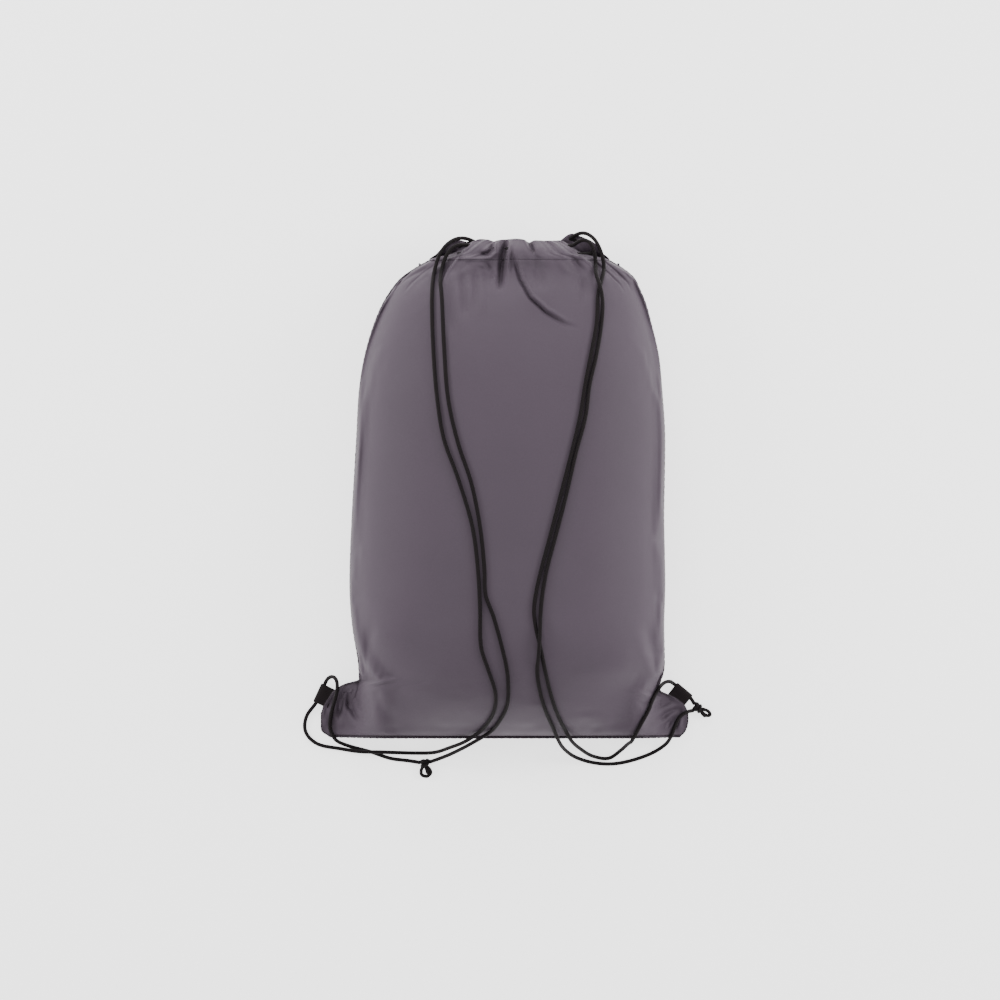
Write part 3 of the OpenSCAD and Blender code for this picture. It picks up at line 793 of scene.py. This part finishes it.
back_cloth = cloth_piece("Back_panel_cloth", back_grid, "back_panel")
front_cloth = cloth_piece("Front_panel_cloth", front_grid[:, ::-1], "front_panel")
back_hem_cloth = cloth_piece("Back_hem_cloth", back_hem_grid, "back_hem")
front_hem_cloth = cloth_piece("Front_hem_cloth", front_hem_grid[:, ::-1], "front_hem")

# ---- Seams, bartacks and hem stitches


PUCKER_PITCH, SEAM_STEP = 6.5 * MM, 1.2 * MM


def puckered(line, radius, out):
    """A seam's line and radii with small, uneven puckers."""
    line = resampled(line, SEAM_STEP)
    along = np.arange(len(line)) * SEAM_STEP
    wave = np.sin(2 * math.pi * along / PUCKER_PITCH + 1.5 * np.sin(along / (23 * MM)))
    line = line + np.array(out) * (0.12 * MM * wave)[:, None]
    return line, radius * (1 + 0.08 * np.sin(2 * math.pi * along / PUCKER_PITCH * 1.7 + 0.8))


# Seams and the tab stitching take the seam roll's finish, whose darker tone is painted shade.
def seam_piece(name, line, out, node, radius=0.95 * MM):
    line, radii = puckered(line, radius, out)
    piece = tube(name, line, radii, seam_roll_painted_shade, 10)
    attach(piece, "bag")
    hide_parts(node)
    return piece


SIDE_SEAM_OUT, BOTTOM_SEAM_OUT = 0.5 * MM, 1.1 * MM
left_line = back_grid[:, 0] - [SIDE_SEAM_OUT, 0, 0]
right_line = back_grid[:, -1] + [SIDE_SEAM_OUT, 0, 0]
low_line = back_grid[0] - [0, BOTTOM_SEAM_OUT, 0]
# The bottom seam turns up round the ears as far as the tabs' stitches, and the side seams go on above them.
tab_rows = (PANEL_ROWS > -210 * MM) & (PANEL_ROWS < -188.5 * MM)
side_rows = PANEL_ROWS > -188 * MM
ear_rows = PANEL_ROWS <= -210 * MM
seam_piece("Left_side_seam_roll", left_line[side_rows], (1, 0, 0), "left_side_seam")
seam_piece("Right_side_seam_roll", right_line[side_rows], (1, 0, 0), "right_side_seam")
bottom_line = np.concatenate([left_line[ear_rows][::-1], low_line[6:-6:4], right_line[ear_rows]])
seam_piece("Bottom_seam_roll", bottom_line, (0, 1, 0), "bottom_seam", 1.35 * MM)
for side, line in (("Left", left_line), ("Right", right_line)):
    piece = seam_piece(f"{side}_tab_stitching", line[tab_rows], (1, 0, 0), f"{side.lower()}_tab_stitch", 0.9 * MM)


def zigzag(name, place, size, turns, node):
    """Dense stitches: one thread that goes to and fro across a small patch."""
    steps = np.linspace(0, 1, 4 * turns + 1)
    across = np.array([0, 1, 0, -1] * turns + [0], float)
    height = np.full(len(steps), place[2])
    line = np.stack([place[0] + across * size[0] / 2, place[1] + (steps - 0.5) * size[1], height], axis=1)
    line[:, 2] += (size[2] / 2) * (1 - across**2 * 0.7)
    piece = tube(name, resampled(line, 0.35 * MM), 0.32 * MM, thread, 8)
    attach(piece, "bag")
    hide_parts(node)


SLIT_Y = 201 * MM
for side, line in (("Left", left_line), ("Right", right_line)):
    place = line[np.argmin(np.abs(PANEL_ROWS - SLIT_Y))]
    zigzag(f"{side}_slit_bartack_stitches", place, (1.8 * MM, 5 * MM, 1.4 * MM), 8, f"{side.lower()}_slit_bartack")


STITCH_LENGTH, STITCH_GAP, STITCH_RADIUS, STITCH_STEP = 2.6 * MM, 0.9 * MM, 0.2 * MM, 0.4 * MM


def dashes(name, line, node):
    """A row of machine stitches along a line that lies on the cloth."""
    line = resampled(line, STITCH_STEP)
    period, steps = (int(round(length / STITCH_STEP)) for length in (STITCH_LENGTH + STITCH_GAP, STITCH_LENGTH))
    parts = [
        tube(f"{name}_{k}", line[k : k + steps + 1], STITCH_RADIUS, thread, 6)
        for k in range(0, len(line) - steps, period)
    ]
    piece = joined(name, parts)
    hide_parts(node)
    return piece


inner_columns = slice(17, -17, 3)
back_row = back_hem_grid[1, inner_columns] + [0, 0, 0.3 * MM]
front_row = front_hem_grid[1, inner_columns] - [0, 0, 0.35 * MM]
back_stitches = dashes("Back_hem_stitches", back_row, "back_hem_stitch")
front_stitches = dashes("Front_hem_stitches", front_row, "front_hem_stitch")

# ---- Corner tabs: a ribbed strip folded over the cord

TAB_WIDTH, TAB_DEPTH, WEBBING, TAB_SLOPE = 18.5 * MM, 13 * MM, 1.2 * MM, math.radians(20)
TUNNEL = cord_d / 2 + 0.25 * MM
TABS = {
    "Left": (np.array([-160.7, -196.9, 7]) * MM, math.radians(155)),
    "Right": (np.array([160.6, -198, 7]) * MM, math.radians(50)),
}
TAB_REACH = TAB_DEPTH - TUNNEL - WEBBING
# How far the strip runs in between the panels, behind the sewn edge.
TUCKED = -3 * MM


def tab_place(side, out, across, up):
    """A point of a tab, by its distance out from the sewn edge, along that edge, and up."""
    base, turn = TABS[side]
    level = np.array([math.cos(turn), math.sin(turn), 0])
    along = np.array([-math.sin(turn), math.cos(turn), 0])
    outward = level * math.cos(TAB_SLOPE) - np.array([0, 0, math.sin(TAB_SLOPE)])
    normal = level * math.sin(TAB_SLOPE) + np.array([0, 0, math.cos(TAB_SLOPE)])
    return base + out * outward + across * along + up * normal


def in_tunnel(side, share):
    """A point of a cord's route inside a tab, in millimetres."""
    return tuple(tab_place(side, TAB_REACH, share * TAB_WIDTH / 2, 0) / MM)


def tab_loop(side):
    """The folded strip: a rounded flat section swept out from the ear, round the cord and back."""
    bend = TUNNEL + WEBBING / 2
    turn = np.linspace(math.pi / 2, -math.pi / 2, 15)
    straight = np.linspace(TUCKED, TAB_REACH, 12)[:-1]
    out = np.concatenate([straight, TAB_REACH + bend * np.cos(turn), straight[::-1]])
    gentle = smooth(np.linspace(-0.25, 1, 12))[:-1]
    rise = WEBBING / 2 + 0.05 * MM
    up = np.concatenate([rise + (bend - rise) * gentle, bend * np.sin(turn), -(rise + (bend - rise) * gentle[::-1])])
    across = np.linspace(-1, 1, 37)
    rib = 0.1 * MM * np.cos(across * math.pi * 11)
    thick = WEBBING / 2 * (1 - across**12) ** 0.5 + rib * (1 - across**8)
    section = list(zip(across, thick)) + list(zip(across[::-1][1:-1], -thick[::-1][1:-1]))
    centre = np.stack([out, up], axis=1)
    along = unit(np.gradient(centre, axis=0))
    points = []
    for k, (o, u) in enumerate(centre):
        outwards = np.array([-along[k][1], along[k][0]])
        for a, t in section:
            points.append(tab_place(side, o + outwards[0] * t, a * TAB_WIDTH / 2, u + outwards[1] * t))
    piece = add_mesh(f"{side}_tab_webbing", points, tube_faces(len(centre), len(section)), strap)
    layer = piece.data.uv_layers.new(name="UVMap")
    far = travelled(centre)
    for loop in piece.data.loops:
        row, a = divmod(loop.vertex_index, len(section))
        layer.data[loop.index].uv = (section[a][0] * TAB_WIDTH / 2, far[row])
    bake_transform(piece)
    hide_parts(f"{side.lower()}_tab")


tab_loop("Left")
tab_loop("Right")

# ---- Cords

top_tree = BVHTree.FromPolygons(*points_and_faces([back_cloth, back_hem_cloth]))


def resting_height(x, y, gap=0.05 * MM):
    """Lowest height of a cord's middle at which its round section clears the cloth below."""
    reach = cord_r + gap
    best = reach
    for share in (0.0, 0.45, 0.85):
        for turn in range(1 if share == 0 else 8):
            px = x + share * reach * math.cos(turn * math.pi / 4)
            py = y + share * reach * math.sin(turn * math.pi / 4)
            hit = top_tree.ray_cast(Vector((px, py, 0.3)), Vector((0, 0, -1)))[0]
            if hit is not None:
                best = max(best, hit.z + reach * math.sqrt(1 - share * share))
    return best


def on(x, y, lift=0):
    """A point of a cord's route that lies on the cloth, in millimetres."""
    return (x, y, resting_height(x * MM, y * MM) / MM + lift)


def ground(x, y, lift=0):
    """A point of a cord's route that lies on the table, in millimetres."""
    return (x, y, cord_r / MM + 0.1 + lift)


# How far a cord is lifted where it crosses another one, in millimetres. In a route, a point with two
# numbers lies on the cloth, and one with three is free.
OVER_STRAND, OVER_SLOPE = 3.7, 6.2

LEFT_BACK_STRAND = [
    (-33, 220.4, 50), (-40.6, 220.6, 53), (-47.4, 217, 56), (-52.4, 210, 58), (-56, 199), (-57.4, 187), (-56, 171),
    (-54, 129), (-50, 78), (-41, 38), (-29, 2), (-21, -38), (-17, -76), (-16, -100), (-9, -119), (-1, -148),
    (4, -172), (4, -200), (-3, -216), (-12, -227), (-28, -237, 45), (-48, -248, 23), (-62, -254, 9),
    (-67.6, -256, 5),
]
LEFT_FRONT_STRAND = [
    (-27, 224.4, 31), (-33, 226.8, 35), (-41, 227, 41), (-48.4, 223.6, 47), (-54.4, 217.8, 52), (-59, 210, 56),
    (-63, 196), (-65, 178), (-64, 129), (-60, 78), (-54, 42), (-41, 6), (-28, -38), (-23, -76), (-21, -112),
    (-20, -148), (-13, -170), (-7, -190), (-8, -206), (-16, -221), (-23, -228), (-35, -236, 43), (-49, -242, 27),
    (-63, -247, 12), ground(-80, -248), ground(-112, -247, OVER_STRAND), ground(-133, -246.5, OVER_STRAND),
    ground(-150, -244), ground(-173, -239), ground(-183, -228), ground(-182, -214), in_tunnel("Left", 1),
    in_tunnel("Left", -1), (-162.6, -179.4, 7.4), (-158.6, -176.8, 12.4), (-154.6, -178.4, 18),
    (-152.8, -184.2, 22), on(-153.8, -193, 0.5), (-158.4, -210), (-160, -224), (-157.6, -231, 11.8),
    (-154, -236.4, 7), ground(-144, -241), ground(-122, -247), ground(-104, -253), ground(-88, -255),
    (-77.4, -256.6, 4.6),
]
RIGHT_BACK_STRAND = [
    (65, 220.6, 49.8), (72.6, 225, 53), (79, 223.4, 56), (83.4, 215, 58.5), (85, 203), on(85, 194, 3),
    on(89, 181, OVER_SLOPE), on(91, 168, 2), (90, 148), (85, 118), (79, 92), (75, 62), (66, 28), (58, -7),
    (48, -46), (40, -76), (36, -98), (34, -118), on(33.5, -134, OVER_STRAND), on(32.5, -154, OVER_STRAND),
    (31, -170), (34, -190), (39, -207), (46, -223), (51, -235, 45), (57, -244, 26), (68, -252, 9), ground(84, -257),
    ground(102, -258), ground(122, -254), ground(140, -247), (149, -241, 3.4), (153, -236.6, 9),
    (155.4, -231.6, 13.4), (158, -225), (162.6, -214.6), (167.4, -210.8, 11.6), (171.6, -209.2, 7.6),
    (175.6, -208.6, 3.8),
]
RIGHT_FRONT_STRAND = [
    (62, 227, 30), (68, 231, 34.4), (75.4, 231.8, 40), (82.6, 227.4, 46), (88, 219, 52.6), (91.4, 209, 57),
    (92.6, 199), (90, 187), (87, 175), (85.5, 148), (80, 118), (75, 92), (70, 62), (62, 28), (53, -7), (43, -46),
    (35, -76), (30, -98), (28, -114), (30, -131), (34, -148), (38, -168), (44, -193), (51, -213), (57, -225),
    (62, -234, 46), (71, -243, 25), (84, -251, 6), ground(98, -253), (108, -246, 6), (115.6, -238.4, 24),
    (118.4, -236, 36), (120.6, -231.6, 41), on(130, -214, 1), on(134, -207, 1), on(137, -199, 0.6),
    on(140, -193.4, 0.6), (143.4, -187.6, 25), (148.2, -182.6, 20.6), (153.8, -181.4, 13.4),
    in_tunnel("Right", 1.12), in_tunnel("Right", -1), (176.6, -201.8, 6),
]
CORD_STEP = 2 * MM


def laid(route):
    """A strand's centreline, eased over the cloth wherever it would cut in."""
    line = resampled(np.array([point if len(point) == 3 else on(*point) for point in route]) * MM, CORD_STEP)
    for _ in range(3):
        line[1:-1] = 0.25 * line[:-2] + 0.5 * line[1:-1] + 0.25 * line[2:]
    low = np.array([resting_height(px, py) for px, py in line[:, :2]])
    low[line[:, 1] > MOUTH_Y] = cord_r
    ends = line[[0, -1]].copy()
    for _ in range(6):
        line[:, 2] = np.maximum(line[:, 2], low)
        line[1:-1, 2] = 0.25 * line[:-2, 2] + 0.5 * line[1:-1, 2] + 0.25 * line[2:, 2]
    line[:, 2] = np.maximum(line[:, 2], low - 0.15 * MM)
    line[[0, -1]] = ends
    return line


def cord_piece(name, line, radius=cord_r, sides=14):
    piece = tube(name, line, radius, braid, sides)
    return piece


lines = {
    "Left_back": laid(LEFT_BACK_STRAND), "Left_front": laid(LEFT_FRONT_STRAND),
    "Right_back": laid(RIGHT_BACK_STRAND), "Right_front": laid(RIGHT_FRONT_STRAND),
}
# Strands are made in lengths: the first by the lip, one round the tab and the last up to the knot.
SHOULDER_LENGTH = 56 * MM


def split_at(name, new_name, place):
    """Gives the rest of a strand, from the point nearest to a place on the table, a name of its own."""
    line = lines[name]
    cut = int(np.argmin(np.linalg.norm(line[:, :2] - np.array(place) * MM, axis=1)))
    lines[name], lines[new_name] = line[: cut + 1], line[cut:]


split_at("Left_front", "Left_corner", (-112, -247))
split_at("Left_corner", "Left_tail_front", (-144, -241))
split_at("Left_back", "Left_tail_back", (-28, -237))
split_at("Right_front", "Right_corner_front", (98, -253))
split_at("Right_back", "Right_corner_back", (102, -258))
shoulder = int(round(SHOULDER_LENGTH / CORD_STEP))
lines["Right_shoulder"] = lines["Right_back"][: shoulder + 1]
lines["Right_back"] = lines["Right_back"][shoulder:]
strands = {name: cord_piece(f"{name}_strand", line) for name, line in lines.items()}


# ---- The cords inside the hems, and their turns from one hem to the other


def channel_middle(grid):
    """The middle plane of a hem, between its outside and its inside."""
    outer = len(grid) // 2 + 1
    return np.array([(grid[k] + grid[len(grid) - 1 - k]) / 2 for k in range(outer)])


# The cords keep this share of the hem's width clear at each end, and pass each other by this much halfway.
CLEAR_SHARE, PASSING = 0.17, 1.5 * MM


def run(grid, start_share, end_share, level, leftwards=False):
    """A cord's line through a channel, passing over (1) or under (-1) the other cord halfway."""
    middle = channel_middle(grid)
    line = []
    for s in np.linspace(0, 1, 41):
        share = (start_share + (end_share - start_share) * s) * (len(middle) - 1)
        column = (CLEAR_SHARE + (1 - 2 * CLEAR_SHARE) * (1 - s if leftwards else s)) * (middle.shape[1] - 1)
        j, i = min(int(share), len(middle) - 2), min(int(column), middle.shape[1] - 2)
        a, b = share - j, column - i
        point = (
            middle[j, i] * (1 - a) * (1 - b) + middle[j + 1, i] * a * (1 - b)
            + middle[j, i + 1] * (1 - a) * b + middle[j + 1, i + 1] * a * b
        )
        line.append(point + [0, 0, level * PASSING * math.sin(math.pi * s)])
    return np.array(line)


def turned(top, low, out):
    """A cord's line out of one channel's end and back into the other one's."""
    bulge = np.array([out * 3 * MM, 0, 0])
    down = np.array([0, 0, 5 * MM])
    return resampled([
        top, top + 0.5 * bulge, top + bulge - down, (top + low) / 2 + 1.3 * bulge,
        low + bulge + down, low + 0.5 * bulge, low,
    ], CORD_STEP)


OUTER_SHARE, INNER_SHARE = 0.68, 0.32
runs = {
    "Left_back": run(back_hem_grid, OUTER_SHARE, INNER_SHARE, 1),
    "Left_front": run(front_hem_grid, INNER_SHARE, OUTER_SHARE, 1, leftwards=True),
    "Right_back": run(back_hem_grid, OUTER_SHARE, INNER_SHARE, -1, leftwards=True),
    "Right_front": run(front_hem_grid, INNER_SHARE, OUTER_SHARE, -1),
}
for name in ("Left_front", "Right_front"):
    runs[name] = np.vstack([runs[name], lines[name][0]])
for name, outside in (("Left_back", "Left_back"), ("Right_back", "Right_shoulder")):
    runs[name] = np.vstack([lines[outside][0], runs[name]])
for name, line in runs.items():
    piece = cord_piece(f"{name}_cord_in_hem", resampled(line, CORD_STEP), cord_r * 0.94, 12)
    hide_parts(f"{name.lower()}_run".replace("_", "_cord_", 1))
    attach(piece, "upper_lip" if "back" in name else "bag")
for name, out in (("Left", 1), ("Right", -1)):
    top, low = runs[f"{name}_back"][-1], runs[f"{name}_front"][0]
    piece = cord_piece(f"{name}_cord_turn", turned(top, low, out), cord_r * 0.98, 12)
    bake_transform(piece)

# ---- Knots


# A wrapped cord is squeezed a little, and its middle keeps this height over the table.
KNOTTED_RADIUS, KNOTTED_LOWEST = 1.6 * MM, 1.7 * MM
WRAP_TURNS, WRAP_REACH, WRAP_RADIUS = 1.75, 5.6 * MM, 2.7 * MM


def knot(side, starts, centre, axis, tail, loop, body):
    """Two ends tied together: one wraps the other and ends in a short tail, and the other turns back as a loop."""
    axis = unit(np.array([*axis, 0.0]))
    across = np.array([-axis[1], axis[0], 0.0])
    up = np.array([0, 0, 1])
    centre = np.array(centre) * MM
    angles = np.linspace(0, 2 * math.pi * WRAP_TURNS, 26)
    wrap = [
        centre + axis * (WRAP_REACH * (k / 25 - 0.5)) + WRAP_RADIUS * (math.cos(a) * across + math.sin(a) * up)
        for k, a in enumerate(angles)
    ]

    def past(along, sideways, rise=0.0):
        return centre + (axis * along + across * sideways) * MM + rise * (up * MM)

    outer = [starts[0], *wrap, past(5.6, tail), past(8.6, 1.3 * tail, -1)]
    far, wide = loop
    inner = [
        starts[1], past(-2.6, 0), past(1.5, 0), past(4.6, 0.7 * wide, -0.5), past(far - 3, wide, -1.4),
        past(far, 0.2 * wide, -1.8), past(far - 2, -0.85 * wide, -1.8), past(5.2, -0.8 * wide, -1),
        past(2.2, -1.2, 0.6),
    ]
    made = []
    for name, line in (("wrap", outer), ("core", inner)):
        line = resampled(line, 0.7 * MM)
        line[:, 2] = np.maximum(line[:, 2], KNOTTED_LOWEST)
        piece = cord_piece(f"{side}_knot_{name}", line, KNOTTED_RADIUS)
        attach(piece, body)
        made.append(piece)
    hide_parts(f"{side.lower()}_knot")
    return made


left_knot = knot(
    "Left", (lines["Left_tail_back"][-1], lines["Left_tail_front"][-1]), (-72.5, -257.6, 5),
    axis=(0.12, -1), tail=1.2, loop=(12, 4.6), body="left_cord_knot",
)
right_knot = knot(
    "Right", (lines["Right_corner_front"][-1], lines["Right_corner_back"][-1]), (180.8, -206.2, 5.2),
    axis=(0.85, -0.53), tail=-2.4, loop=(12.5, 2.1), body="right_corner_tab",
)

# ---- What moves with what

for piece in (back_cloth, back_hem_cloth, back_stitches, strands["Left_back"], strands["Right_shoulder"]):
    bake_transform(piece)
for piece in (front_cloth, front_hem_cloth, front_stitches):
    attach(piece, "bag")
for name in ("Left_front", "Right_front", "Right_back"):
    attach(strands[name], "bag")
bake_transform(strands["Left_corner"])
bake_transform(strands["Left_tail_front"])
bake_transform(strands["Left_tail_back"])
for name in ("Right_corner_front", "Right_corner_back"):
    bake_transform(strands[name])
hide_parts("left_cord")
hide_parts("right_cord")
